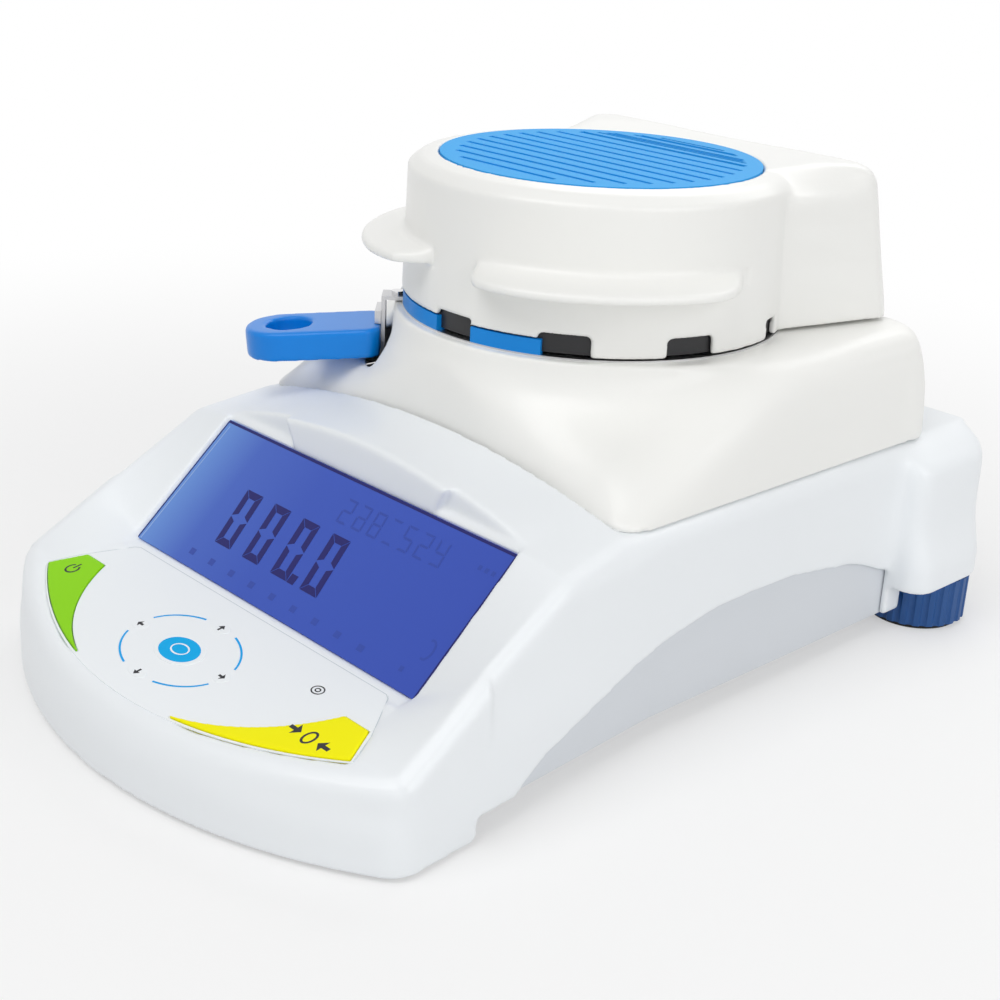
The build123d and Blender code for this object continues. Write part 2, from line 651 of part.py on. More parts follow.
def power_inlet():
    part = box(INLET_X - 13.5, INLET_X + 13.5, REAR_Y - 20, REAR_Y, INLET_Z - 10, INLET_Z + 10)
    part = part + box(INLET_X - 22, INLET_X + 22, REAR_Y, REAR_Y + FLANGE_T, INLET_Z - 13, INLET_Z + 13)
    part = part - box(INLET_X - 12, INLET_X + 12, REAR_Y - 14, REAR_Y + 4, INLET_Z - 8.2, INLET_Z + 8.2)
    for dx, dz in ((-7, -4), (0, 0.5), (7, -4)):
        part = part + box(INLET_X + dx - 1, INLET_X + dx + 1, REAR_Y - 15, REAR_Y - 2,
                          INLET_Z + dz - 2, INLET_Z + dz + 2)
    return part


def switch_frame():
    part = box(SWITCH_X - 8, SWITCH_X + 8, REAR_Y - 12, REAR_Y + 1.5, INLET_Z - 11.5, INLET_Z + 11.5)
    half = SWITCH_W / 2 + BODY_GAP
    tall = SWITCH_H / 2 + BODY_GAP
    hole = box(SWITCH_X - half, SWITCH_X + half, REAR_Y - 11, REAR_Y + 5, INLET_Z - tall, INLET_Z + tall)
    part = part - hole
    bore = Pos(SWITCH_X, REAR_Y - 2, INLET_Z) * (Rot(0, 90, 0) * Cylinder(1.2 + RUN_GAP, 15.2))
    return part - bore


def switch_rocker():
    x0 = SWITCH_X - SWITCH_W / 2
    x1 = SWITCH_X + SWITCH_W / 2
    h = SWITCH_H / 2
    y = REAR_Y
    points = [(y - 6, INLET_Z - h + 2.5), (y - 6, INLET_Z + h - 2.5), (y + 1.9, INLET_Z + h - 0.6),
              (y + 0.6, INLET_Z), (y + 0.2, INLET_Z - h + 0.8)]
    part = yz_prism(points, x0, x1)
    axle = Pos(SWITCH_X, REAR_Y - 2, INLET_Z) * (Rot(0, 90, 0) * Cylinder(1.2, 14.8))
    return part + axle


def data_port():
    x = PORT_X[0]
    part = box(x - 12, x + 12, REAR_Y - 14, REAR_Y, PORT_Z - 6, PORT_Z + 6)
    part = part + box(x - 16, x + 16, REAR_Y, REAR_Y + 1, PORT_Z - 7, PORT_Z + 7)
    shell = box(x - 8.5, x + 8.5, REAR_Y + 1, REAR_Y + 2.6, PORT_Z - 4.2, PORT_Z + 4.2)
    return part + (shell - box(x - 7.6, x + 7.6, REAR_Y + 1, REAR_Y + 3, PORT_Z - 3.3, PORT_Z + 3.3))


def aux_port():
    turn = Rot(90, 0, 0)
    part = Pos(PORT_X[1], REAR_Y - 7, PORT_Z) * (turn * Cylinder(7, 14))
    part = part + Pos(PORT_X[1], REAR_Y + 1, PORT_Z) * (turn * Cylinder(9, 2))
    return part - Pos(PORT_X[1], REAR_Y, PORT_Z) * (turn * Cylinder(4.6, 8))


def main_board():
    return box(26, 94, -26, 111, BOARD_Z, BOARD_Z + 1.6)


def board_parts():
    z = BOARD_Z + 1.6
    part = box(40, 56, 0, 16, z, z + 3)
    part = part + box(64, 84, 30, 44, z, z + 9)
    for y in (60, 76, 92):
        part = part + rod(50, y, z, z + 18, 6)
    return part


def transformer():
    return ring(-58, 98, TRAY_Z + FLOOR_T, 46, 9, 29)


def lcd_module():
    return on_display(148, 44, -9.0, -GLASS_T - 0.3)


def display_window():
    return on_display(DISP_HALF * 2, DISP_LEN, -GLASS_T - 0.3, -0.3)


def display_board():
    return on_display(146, 42, -10.6, -9.0)


def keypad_board():
    return box(-60, 60, -163, -129, PADBOARD_Z, PADBOARD_Z + 1.6)


def keypad_overlay():
    sheet = pad_slab(pad_outline(0.4), -PAD_SHEET, 0)
    for outline in key_outlines(KEY_GAP).values():
        sheet = sheet - pad_slab(outline, -3, 3)
    return sheet


def key_cap(outline):
    return pad_slab(outline, -KEY_DEPTH, KEY_PROUD)


def base_screws():
    part = None
    for x, y in SCREWS:
        screw = rod(x, y, TRAY_Z + 0.2, TRAY_Z + 1.6, 3.0)
        screw = screw - box(x - 0.5, x + 0.5, y - 2, y + 2, TRAY_Z, TRAY_Z + 0.9)
        part = screw if part is None else part + screw
    return part


NODES = {
    "upper_housing": upper_housing,
    "lower_housing": lower_housing,
    "deck_cover": deck_cover,
    "chamber_liner": chamber_liner,
    "chamber_ring": chamber_ring,
    "lid_shell": lid_shell,
    "lid_tower": lid_tower,
    "vent_disc": vent_disc,
    "heat_reflector": heat_reflector,
    "halogen_lamp": halogen_lamp,
    "lamp_holders": lamp_holders,
    "guard_ring": guard_ring,
    "guard_glass": guard_glass,
    "temperature_sensor": temperature_sensor,
    "hinge_bracket": hinge_bracket,
    "hinge_pins": hinge_pins,
    "sample_pan": sample_pan,
    "pan_support": pan_support,
    "load_cell": load_cell,
    "cell_bracket": cell_bracket,
    "lifter_ring": lifter_ring,
    "lifter_handle": lifter_handle,
    "lifter_gasket": lifter_gasket,
    "lifter_rivet": lifter_rivet,
    "front_feet": front_feet,
    "foot_knob_left": lambda: foot_knob(-1),
    "foot_knob_right": lambda: foot_knob(1),
    "foot_pad_left": lambda: foot_pad(-1),
    "foot_pad_right": lambda: foot_pad(1),
    "power_inlet": power_inlet,
    "switch_frame": switch_frame,
    "switch_rocker": switch_rocker,
    "data_port": data_port,
    "aux_port": aux_port,
    "main_board": main_board,
    "board_parts": board_parts,
    "transformer": transformer,
    "lcd_module": lcd_module,
    "display_window": display_window,
    "display_board": display_board,
    "keypad_board": keypad_board,
    "keypad_overlay": keypad_overlay,
    "base_screws": base_screws,
}

# the origin lies under the middle of the whole depth, rear flanges included
SHIFT = Pos(0, -(FRONT_Y + REAR_Y + FLANGE_T) / 2, 0)

for name, make in NODES.items():
    export_step(SHIFT * make(), "parts/" + name + ".step")

for name, outline in key_outlines().items():
    export_step(SHIFT * key_cap(outline), "parts/" + name + ".step")
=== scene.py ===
import json
import math

import bmesh
import bpy
from mathutils import Matrix, Vector


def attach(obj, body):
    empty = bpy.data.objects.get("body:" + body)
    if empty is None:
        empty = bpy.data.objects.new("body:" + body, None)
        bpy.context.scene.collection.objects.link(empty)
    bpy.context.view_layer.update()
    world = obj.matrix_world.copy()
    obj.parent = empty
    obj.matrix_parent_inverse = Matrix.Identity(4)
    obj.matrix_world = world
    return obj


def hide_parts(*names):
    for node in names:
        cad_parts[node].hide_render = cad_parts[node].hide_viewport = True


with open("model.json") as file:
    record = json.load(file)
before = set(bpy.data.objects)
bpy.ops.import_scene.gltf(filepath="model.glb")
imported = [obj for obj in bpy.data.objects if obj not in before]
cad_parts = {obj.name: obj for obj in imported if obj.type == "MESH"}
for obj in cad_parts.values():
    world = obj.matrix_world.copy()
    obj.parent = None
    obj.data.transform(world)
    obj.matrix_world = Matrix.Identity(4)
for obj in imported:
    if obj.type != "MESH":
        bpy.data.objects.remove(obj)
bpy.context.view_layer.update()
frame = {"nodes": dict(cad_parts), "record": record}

NODES = frame["nodes"]
MM = 0.001


# Materials

COAT_ROUGH = 0.12
GRAIN_DEPTH = 0.0002


def new_material(name, color, rough=0.4, metal=0.0, vary=0.03, vary_scale=6.0, bump=0.0, bump_scale=900.0,
                 coat=0.0, spec=0.5, rough_vary=0.05):
    """A plastic, metal or rubber finish with slight colour drift and a fine surface grain."""
    mat = bpy.data.materials.new(name)
    mat.use_nodes = True
    nt = mat.node_tree
    bsdf = nt.nodes["Principled BSDF"]
    bsdf.inputs["Metallic"].default_value = metal
    bsdf.inputs["Specular IOR Level"].default_value = spec
    bsdf.inputs["Coat Weight"].default_value = coat
    bsdf.inputs["Coat Roughness"].default_value = COAT_ROUGH
    coords = nt.nodes.new("ShaderNodeTexCoord")
    cloud = nt.nodes.new("ShaderNodeTexNoise")
    cloud.inputs["Scale"].default_value = vary_scale
    cloud.inputs["Detail"].default_value = 3.0
    nt.links.new(coords.outputs["Object"], cloud.inputs["Vector"])
    ramp = nt.nodes.new("ShaderNodeValToRGB")
    dark = [c * (1.0 - vary) for c in color]
    light = [min(1.0, c * (1.0 + vary * 0.5)) for c in color]
    ramp.color_ramp.elements[0].position = 0.3
    ramp.color_ramp.elements[0].color = (*dark, 1)
    ramp.color_ramp.elements[1].position = 0.7
    ramp.color_ramp.elements[1].color = (*light, 1)
    nt.links.new(cloud.outputs["Fac"], ramp.inputs["Fac"])
    nt.links.new(ramp.outputs["Color"], bsdf.inputs["Base Color"])
    spread = nt.nodes.new("ShaderNodeMapRange")
    spread.inputs["To Min"].default_value = max(0.02, rough - rough_vary)
    spread.inputs["To Max"].default_value = min(1.0, rough + rough_vary)
    nt.links.new(cloud.outputs["Fac"], spread.inputs["Value"])
    nt.links.new(spread.outputs["Result"], bsdf.inputs["Roughness"])
    if bump > 0:
        grain = nt.nodes.new("ShaderNodeTexNoise")
        grain.inputs["Scale"].default_value = bump_scale
        grain.inputs["Detail"].default_value = 2.0
        nt.links.new(coords.outputs["Object"], grain.inputs["Vector"])
        push = nt.nodes.new("ShaderNodeBump")
        push.inputs["Strength"].default_value = bump
        push.inputs["Distance"].default_value = GRAIN_DEPTH
        nt.links.new(grain.outputs["Fac"], push.inputs["Height"])
        nt.links.new(push.outputs["Normal"], bsdf.inputs["Normal"])
    return mat


def brushed(name, color, rough, stretch):
    """Metal with fine brush lines that run along one axis."""
    mat = new_material(name, color, rough=rough, metal=1.0, vary=0.05)
    nt = mat.node_tree
    bsdf = nt.nodes["Principled BSDF"]
    coords = nt.nodes["Texture Coordinate"]
    mapping = nt.nodes.new("ShaderNodeMapping")
    mapping.inputs["Scale"].default_value = stretch
    lines = nt.nodes.new("ShaderNodeTexNoise")
    lines.inputs["Scale"].default_value = 60.0
    lines.inputs["Detail"].default_value = 4.0
    push = nt.nodes.new("ShaderNodeBump")
    push.inputs["Strength"].default_value = 0.25
    push.inputs["Distance"].default_value = GRAIN_DEPTH
    nt.links.new(coords.outputs["Object"], mapping.inputs["Vector"])
    nt.links.new(mapping.outputs["Vector"], lines.inputs["Vector"])
    nt.links.new(lines.outputs["Fac"], push.inputs["Height"])
    nt.links.new(push.outputs["Normal"], bsdf.inputs["Normal"])
    return mat


def glass(name, color, rough=0.03):
    """Clear glass or quartz with a faint tint."""
    mat = new_material(name, color, rough=rough, vary=0.0, rough_vary=0.01)
    bsdf = mat.node_tree.nodes["Principled BSDF"]
    bsdf.inputs["Transmission Weight"].default_value = 1.0
    bsdf.inputs["IOR"].default_value = 1.45
    return mat


LCD_HALF = 0.0824


def lcd_material():
    """Back-lit blue liquid-crystal face, brighter towards its lamp on the left."""
    mat = new_material("lcd_face", (0.07, 0.16, 0.62), rough=0.3, vary=0.04, vary_scale=14.0, spec=0.3)
    nt = mat.node_tree
    bsdf = nt.nodes["Principled BSDF"]
    coords = nt.nodes["Texture Coordinate"]
    split = nt.nodes.new("ShaderNodeSeparateXYZ")
    nt.links.new(coords.outputs["Object"], split.inputs["Vector"])
    across = nt.nodes.new("ShaderNodeMapRange")
    across.inputs["From Min"].default_value = -LCD_HALF
    across.inputs["From Max"].default_value = LCD_HALF
    nt.links.new(split.outputs["X"], across.inputs["Value"])
    ramp = nt.nodes.new("ShaderNodeValToRGB")
    stops = ramp.color_ramp.elements
    stops[0].color = (0.13, 0.28, 0.68, 1)
    stops[1].color = (0.032, 0.075, 0.44, 1)
    stops.new(0.16).color = (0.055, 0.125, 0.52, 1)
    stops.new(0.4).color = (0.036, 0.088, 0.47, 1)
    nt.links.new(across.outputs["Result"], ramp.inputs["Fac"])
    nt.links.new(ramp.outputs["Color"], bsdf.inputs["Base Color"])
    nt.links.new(ramp.outputs["Color"], bsdf.inputs["Emission Color"])
    bsdf.inputs["Emission Strength"].default_value = 0.05
    return mat


M = {
    "housing": new_material("housing_white", (0.88, 0.91, 0.935), rough=0.42, vary=0.02, bump=0.06,
                            coat=0.15),
    "tray": new_material("tray_grey", (0.70, 0.73, 0.77), rough=0.5, vary=0.03, bump=0.08),
    "deck": new_material("deck_white", (0.90, 0.90, 0.875), rough=0.4, vary=0.02, bump=0.06, coat=0.15),
    "lid": new_material("lid_white", (0.90, 0.90, 0.875), rough=0.38, vary=0.02, bump=0.06, coat=0.2),
    "vent": new_material("vent_blue", (0.03, 0.40, 0.88), rough=0.55, vary=0.05, bump=0.08, spec=0.2),
    "handle": new_material("handle_blue", (0.0, 0.23, 0.76), rough=0.32, vary=0.04, coat=0.1, spec=0.3),
    "foot": new_material("foot_blue", (0.006, 0.075, 0.27), rough=0.45, vary=0.08, bump=0.1),
    "trim": new_material("trim_blue", (0.0, 0.25, 0.75), rough=0.4, vary=0.05, spec=0.3),
    "rubber": new_material("black_rubber", (0.012, 0.012, 0.013), rough=0.75, vary=0.2, bump=0.25,
                           bump_scale=500),
    "dark": new_material("dark_plastic", (0.025, 0.025, 0.028), rough=0.5, vary=0.1, bump=0.1),
    "steel": brushed("brushed_steel", (0.62, 0.62, 0.63), 0.3, (1.0, 14.0, 14.0)),
    "chrome": brushed("polished_steel", (0.75, 0.75, 0.76), 0.12, (1.0, 1.0, 8.0)),
    "zinc": brushed("zinc_plate", (0.5, 0.51, 0.54), 0.42, (3.0, 3.0, 3.0)),
    "pan": brushed("pan_metal", (0.72, 0.72, 0.73), 0.35, (10.0, 1.0, 1.0)),
    "cell": brushed("cell_metal", (0.6, 0.6, 0.62), 0.4, (1.0, 12.0, 1.0)),
    "lamp": glass("lamp_glass", (0.97, 0.96, 0.92), 0.04),
    "clear": glass("clear_glass", (0.95, 0.98, 1.0)),
    "ceramic": new_material("ceramic", (0.72, 0.69, 0.62), rough=0.6, vary=0.05, bump=0.1),
    "board": new_material("board_green", (0.01, 0.08, 0.03), rough=0.4, vary=0.15, vary_scale=80.0),
    "copper": brushed("winding_copper", (0.5, 0.23, 0.08), 0.35, (1.0, 1.0, 60.0)),
    "lcd": lcd_material(),
    "segment": new_material("lcd_segment", (0.016, 0.016, 0.14), rough=0.4, vary=0.05, spec=0.2),
    "ghost": new_material("lcd_ghost", (0.029, 0.068, 0.39), rough=0.3, vary=0.05, spec=0.3),
    "overlay": new_material("overlay_white", (0.90, 0.93, 0.95), rough=0.45, vary=0.015, bump=0.08),
    "green": new_material("key_green", (0.28, 0.70, 0.005), rough=0.5, vary=0.03, spec=0.15),
    "yellow": new_material("key_yellow", (0.98, 0.92, 0.0), rough=0.5, vary=0.02, spec=0.15),
    "key_blue": new_material("key_blue", (0.0, 0.42, 0.85), rough=0.5, vary=0.03, spec=0.15),
    "print": new_material("print_blue", (0.0, 0.38, 0.85), rough=0.5, vary=0.04, spec=0.2),
    "fine_line": new_material("fine_line", (0.62, 0.67, 0.71), rough=0.6, vary=0.02),
    "gleam": new_material("lcd_gleam", (0.30, 0.45, 0.80), rough=0.35, vary=0.05, spec=0.3),
    "ink": new_material("print_ink", (0.05, 0.05, 0.055), rough=0.7, vary=0.08, spec=0.15),
    "socket": new_material("socket_black", (0.012, 0.012, 0.014), rough=0.42, vary=0.1),
}

FINISH = {
    "upper_housing": "housing", "lower_housing": "tray", "deck_cover": "deck", "chamber_liner": "steel",
    "chamber_ring": "trim", "lid_shell": "lid", "lid_tower": "lid", "vent_disc": "vent",
    "heat_reflector": "chrome", "halogen_lamp": "lamp", "lamp_holders": "ceramic", "guard_ring": "dark",
    "guard_glass": "clear", "temperature_sensor": "steel", "hinge_bracket": "zinc", "hinge_pins": "steel",
    "sample_pan": "pan", "pan_support": "steel", "load_cell": "cell", "cell_bracket": "cell",
    "lifter_ring": "steel", "lifter_handle": "handle", "lifter_gasket": "steel", "lifter_rivet": "chrome",
    "front_feet": "rubber", "foot_knob_left": "foot", "foot_knob_right": "foot", "foot_pad_left": "rubber",
    "foot_pad_right": "rubber", "power_inlet": "socket", "switch_frame": "dark", "switch_rocker": "dark",
    "data_port": "zinc", "aux_port": "dark", "main_board": "board", "board_parts": "dark",
    "transformer": "copper", "lcd_module": "dark", "display_window": "lcd", "display_board": "board",
    "keypad_board": "board", "keypad_overlay": "overlay", "base_screws": "zinc", "key_green": "green",
    "key_yellow": "yellow", "key_enter": "key_blue", "key_left": "overlay", "key_right": "overlay",
    "key_up": "overlay", "key_down": "overlay",
}
for node, finish in FINISH.items():
    solid = NODES[node]
    if not solid.material_slots:
        solid.data.materials.append(M[finish])
    for place in solid.material_slots:
        place.material = M[finish]


# Mesh helpers

def mesh_object(name, bm, material, body):
    """A new object with the mesh built in bm, riding on a body."""
    data = bpy.data.meshes.new(name)
    bm.to_mesh(data)
    bm.free()
    data.materials.append(material)
    obj = bpy.data.objects.new(name, data)
    bpy.context.scene.collection.objects.link(obj)
    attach(obj, body)
    return obj


def plate(bm, points, place, thickness):
    """A flat plate with the outline given, laid by the matrix place, its back on that plane."""
    low = [bm.verts.new(place @ Vector((x * MM, y * MM, 0))) for x, y in points]
    high = [bm.verts.new(place @ Vector((x * MM, y * MM, thickness * MM))) for x, y in points]
    bm.faces.new(list(reversed(low)))
    bm.faces.new(high)
    count = len(points)
    for i in range(count):
        j = (i + 1) % count
        bm.faces.new((low[i], low[j], high[j], high[i]))


def plane_matrix(origin, tilt_deg):
    """Place of a sloping panel, in millimetres and degrees: x across, y up the slope, z out of it."""
    t = math.radians(tilt_deg)
    x = Vector((1, 0, 0))
    y = Vector((0, math.cos(t), math.sin(t)))
    z = Vector((0, -math.sin(t), math.cos(t)))
    m = Matrix.Identity(4)
    for i in range(3):
        m[i][0] = x[i]
        m[i][1] = y[i]
        m[i][2] = z[i]
        m[i][3] = origin[i] * MM
    return m


# The part's frame starts under the middle of its whole depth, SHIFT_Y ahead of its drawing's zero
SHIFT_Y = 5.0
DISPLAY = plane_matrix((0, -90.65 + SHIFT_Y, 58.85), 41.79)
KEYPAD = plane_matrix((0, -146.0 + SHIFT_Y, 33.5), 10.0)
LID_AXIS = (0.0, 45.3 + SHIFT_Y)

BODIES = frame["record"]["behaviour"]["bodies"]
BODY_OF = {node: body for body, members in BODIES.items() for node in members}


# Moulded shells: the node's own form with its creases eased as a mould leaves them

def smoothstep(value, low, high):
    """Nought below low, one above high and an even run between."""
    t = min(1.0, max(0.0, (value - low) / (high - low)))
    return t * t * (3 - 2 * t)


def along(table, value):
    """Straight-line reading of a table of (value, result) rows."""
    if value <= table[0][0]:
        return table[0][1]
    for (a, p), (b, q) in zip(table, table[1:]):
        if value <= b:
            return p + (q - p) * (value - a) / (b - a)
    return table[-1][1]


def baked(obj):
    """The object's mesh with its modifiers applied."""
    graph = bpy.context.evaluated_depsgraph_get()
    graph.update()
    data = bpy.data.meshes.new_from_object(obj.evaluated_get(graph))
    obj.modifiers.clear()
    obj.data = data


def remesh(obj, voxel):
    """One even skin over all that the object holds."""
    mod = obj.modifiers.new("remesh", "REMESH")
    mod.mode = "VOXEL"
    mod.voxel_size = voxel * MM
    baked(obj)


def ease(obj, rounds, weight=None):
    """Smooth the mesh, only where weight(x, y, z) in millimetres is above nought when it is given."""
    mod = obj.modifiers.new("ease", "SMOOTH")
    mod.factor = 0.5
    mod.iterations = rounds
    if weight:
        group = obj.vertex_groups.new(name="ease")
        levels = {}
        for v in obj.data.vertices:
            w = weight(v.co.x / MM, v.co.y / MM, v.co.z / MM)
            if w > 0.02:
                levels.setdefault(round(w, 1), []).append(v.index)
        for w, members in levels.items():
            group.add(members, w, "REPLACE")
        mod.vertex_group = "ease"
    baked(obj)
    obj.vertex_groups.clear()


def reshape(obj, move):
    """Move every point by move(x, y, z), which gives its new place in millimetres."""
    for v in obj.data.vertices:
        v.co = Vector(move(v.co.x / MM, v.co.y / MM, v.co.z / MM)) * MM
    obj.data.update()


def lid_polar(x, y):
    """Distance from the lid's upright axis, and the angle from straight ahead, in degrees to the right."""
    dx = x - LID_AXIS[0]
    dy = y - LID_AXIS[1]
    return math.hypot(dx, dy), math.degrees(math.atan2(dx, -dy))


def lid_point(r, angle):
    """The place at a distance from the lid's axis and an angle from straight ahead."""
    a = math.radians(angle)
    return LID_AXIS[0] + r * math.sin(a), LID_AXIS[1] - r * math.cos(a)


def moulded(nodes, finish, voxel, steps, share, extra=None):
    """A smooth-skinned copy of nodes: remeshed, passed through the steps, thinned to a share."""
    bm = bmesh.new()
    for node in nodes:
        bm.from_mesh(NODES[node].data)
    if extra:
        extra(bm)
    data = bpy.data.meshes.new(nodes[0] + "_moulded")
    bm.to_mesh(data)
    bm.free()
    obj = bpy.data.objects.new(nodes[0] + "_moulded", data)
    bpy.context.scene.collection.objects.link(obj)
    remesh(obj, voxel)
    for step in steps:
        step(obj)
    thin = obj.modifiers.new("thin", "DECIMATE")
    thin.ratio = share
    baked(obj)
    obj.data.materials.clear()
    obj.data.materials.append(M[finish])
    for face in obj.data.polygons:
        face.use_smooth = True
    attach(obj, BODY_OF[nodes[0]])
    return obj


def solid_stack(bm, levels):
    """A closed solid through level outlines that all have the same number of points."""
    rows = [[bm.verts.new((x * MM, y * MM, z * MM)) for x, y in outline] for z, outline in levels]
    count = len(rows[0])
    for low, high in zip(rows, rows[1:]):
        for i in range(count):
            j = (i + 1) % count
            bm.faces.new((low[i], low[j], high[j], high[i]))
    bmesh.ops.triangulate(bm, faces=[bm.faces.new(list(reversed(rows[0]))), bm.faces.new(rows[-1])])


# The lid: its round shell and the tower behind it are one moulding

LID_TOP = 184.2
# The hinge's axis (y, z), its knuckles and the arms that carry them (middle, width)
HINGE = (148.0, 121.0)
KNUCKLE_R = 5.0
PIN_R = 2.55
ARM = (44.0, 12.0)
ARM_FRONT = 128.0
ARM_Z = (126.2, 130.8)
KNUCKLE_SIDES = 32
# The wings: their height range, and their reach by angle in the solid and in the finished lid
LID_WALL = 73.2
LID_OUT = 73.9
WING_LOW = 147.5
WING_HIGH = 159.0
WING_END = 94.0
WING_CAD = ((9, 81.0), (12, 88.0), (15, 91.5), (20, 92.0), (81, 92.0), (86, 91.5), (89, 88.0), (92, 81.0))
WING_REACH = ((9, 73.2), (12, 81.0), (15, 86.0), (20, 88.6), (26, 89.8), (36, 90.3), (48, 89.8), (60, 89.0),
              (70, 88.6), (75, 87.6), (79, 85.0), (83, 81.0), (87, 76.5), (90, 73.2))
# Rim notches: angle, turn to the left, drop of the top edge
NOTCHES = ((1.0, 0.0, 3.3), (37.5, 1.2, 1.6), (76.0, 3.6, 0.0))
# Where they reach: from a radius out, up to a height, and in degrees from a notch's middle
NOTCH_IN = 68.0
NOTCH_ZONE = 149.0
NOTCH_REACH = (9.5, 15.0)
# The height where the drop begins, and the heights between which the turn dies out
DROP_LOW = 131.8
TURN_FADE = (137.0, 148.0)
# The tower by height: half width at the lid, half width and y at the rear, radius of its front arc
TOWER_LEVELS = (
    (126.4, 66.3, 79.3, 135.5, 73.0), (134.0, 66.5, 78.8, 134.2, 72.9), (150.0, 66.9, 77.0, 131.4, 72.6),
    (165.0, 67.2, 75.4, 129.0, 72.2), (176.0, 67.2, 74.4, 127.4, 71.6), (179.0, 60.5, 74.0, 127.0, 66.0),
    (181.5, 56.0, 73.2, 126.2, 63.0), (183.6, 53.0, 71.8, 124.8, 63.0), (185.2, 50.0, 69.6, 122.6, 63.0),
    (185.9, 47.0, 67.0, 120.0, 63.0),
)
TOWER_CORNER = 9.0
# How far the tower's top rises behind the disc, and over which distance from the lid's axis
TOWER_RISE = 1.7
RISE_REACH = (62.0, 86.0)


def tower_outline(front, rear, back, ring):
    """Plan of the tower: an arc inside the lid's wall, straight sides and rounded rear corners."""
    half = []
    turn = math.asin(front / ring)
    for k in range(13):
        a = turn * k / 12
        half.append((ring * math.sin(a), LID_AXIS[1] + ring * math.cos(a)))
    for k in range(9):
        a = math.radians(90 * k / 8)
        half.append((rear - TOWER_CORNER * (1 - math.cos(a)),
                     back + SHIFT_Y - TOWER_CORNER * (1 - math.sin(a))))
    return [(-x, y) for x, y in half[1:]][::-1] + half


def lid_extra(bm):
    """The tower, and the two hinge arms with their knuckles."""
    solid_stack(bm, [(z, tower_outline(front, rear, back, ring)[::-1])
                     for z, front, rear, back, ring in TOWER_LEVELS])
    for side in (-1, 1):
        x0 = side * ARM[0] - ARM[1] / 2
        x1 = side * ARM[0] + ARM[1] / 2
        y1 = HINGE[0] + KNUCKLE_R
        solid_stack(bm, [(z, [(x0, ARM_FRONT), (x1, ARM_FRONT), (x1, y1), (x0, y1)]) for z in ARM_Z])
        rings = []
        for x, r in ((x0, KNUCKLE_R), (x1, KNUCKLE_R), (x1, PIN_R), (x0, PIN_R)):
            turns = [math.tau * k / KNUCKLE_SIDES for k in range(KNUCKLE_SIDES)]
            rings.append([bm.verts.new((x * MM, (HINGE[0] + r * math.cos(a)) * MM,
                                        (HINGE[1] + r * math.sin(a)) * MM)) for a in turns])
        for m in range(4):
            low = rings[m]
            high = rings[(m + 1) % 4]
            for k in range(KNUCKLE_SIDES):
                n = (k + 1) % KNUCKLE_SIDES
                bm.faces.new((low[k], high[k], high[n], low[n]))
    bmesh.ops.recalc_face_normals(bm, faces=bm.faces)


def lid_shape(x, y, z):
    """Draw the wings in to crescents, set the notches, and run the tower's top down to the rim."""
    r, angle = lid_polar(x, y)
    behind = y > LID_AXIS[1]
    turned = abs(angle)
    if r > LID_OUT and turned < WING_END and WING_LOW < z < WING_HIGH:
        f = (along(WING_REACH, turned) - LID_WALL) / (along(WING_CAD, turned) - LID_WALL)
        k = (LID_WALL + (r - LID_WALL) * f) / r
        x = LID_AXIS[0] + (x - LID_AXIS[0]) * k
        y = LID_AXIS[1] + (y - LID_AXIS[1]) * k
    if z < NOTCH_ZONE and r > NOTCH_IN:
        turn = 0.0
        for notch, shift, drop in NOTCHES:
            near = 1 - smoothstep(abs(angle - notch), *NOTCH_REACH)
            turn += shift * near * (1 - smoothstep(z, *TURN_FADE))
            z -= drop * near * max(0.0, min((z - DROP_LOW) / 5.0, (NOTCH_ZONE - z) / 12.0, 1.0))
        x, y = lid_point(r, angle - turn)
    if behind:
        z = min(z, LID_TOP + TOWER_RISE * smoothstep(r, *RISE_REACH))
    return x, y, z


def rim_weight(x, y, z):
    """The top behind the disc, where the round lid runs into the tower."""
    r = lid_polar(x, y)[0]
    return smoothstep(z, 170, 177) * smoothstep(r, 64.5, 70) * smoothstep(y, 66, 80)


lid = moulded(("lid_shell",), "lid", 0.8,
              (lambda o: reshape(o, lid_shape), lambda o: remesh(o, 0.8), lambda o: ease(o, 60, rim_weight),
               lambda o: ease(o, 5)), 0.35, lid_extra)
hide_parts("lid_shell", "lid_tower")


# The deck: full flanks, a tight rear corner, and the lid's skirt running out softly

DECK_LOW = 84.0
DECK_TOP = 125.0
DECK_HALF = 101.0
DECK_REAR = 136.0 + SHIFT_Y
# Half width by height, in the solid and in the finished deck
DECK_HAVE = ((82, 101.0), (103, 96.5), (115, 92.5), (122, 88.0), (125, 83.0))
DECK_WANT = ((82, 101.0), (92, 100.8), (103, 100.0), (112, 98.6), (118, 96.8), (122, 94.3), (124, 91.5),
             (125, 88.0))
# Height of the skirt by distance from the lid's axis, and of the ramp by y in the drawing
DECK_BOSS = ((77.5, 125.0), (80, 116.5), (83, 109.0), (87, 102.5), (92, 98.0), (99, 93.0), (108, 89.0),
             (125, 84.0), (150, 60.0))
DECK_RAMP = ((-36, 84.0), (-5, 97.0), (25, 112.0), (50, 121.5), (75, 125.0))
RAMP_Y = -36.0
# The arch under the skirt: its height in the middle, its fall at ARCH_X
ARCH = (96.0, 11.0)
ARCH_X = 83.0
# The flanks: where their change begins, across and along
FLANK_X = 55.0
FLANK_Y = (-20.0, 40.0)
# The rear corners: reach of their change, and how square they end
CORNER = 18.0
SQUARE = 4.5


def soft_max(a, b, reach):
    """The greater of two heights, with a hollow fillet where they meet."""
    h = max(reach - abs(a - b), 0.0) / reach
    return max(a, b) + h * h * reach / 4


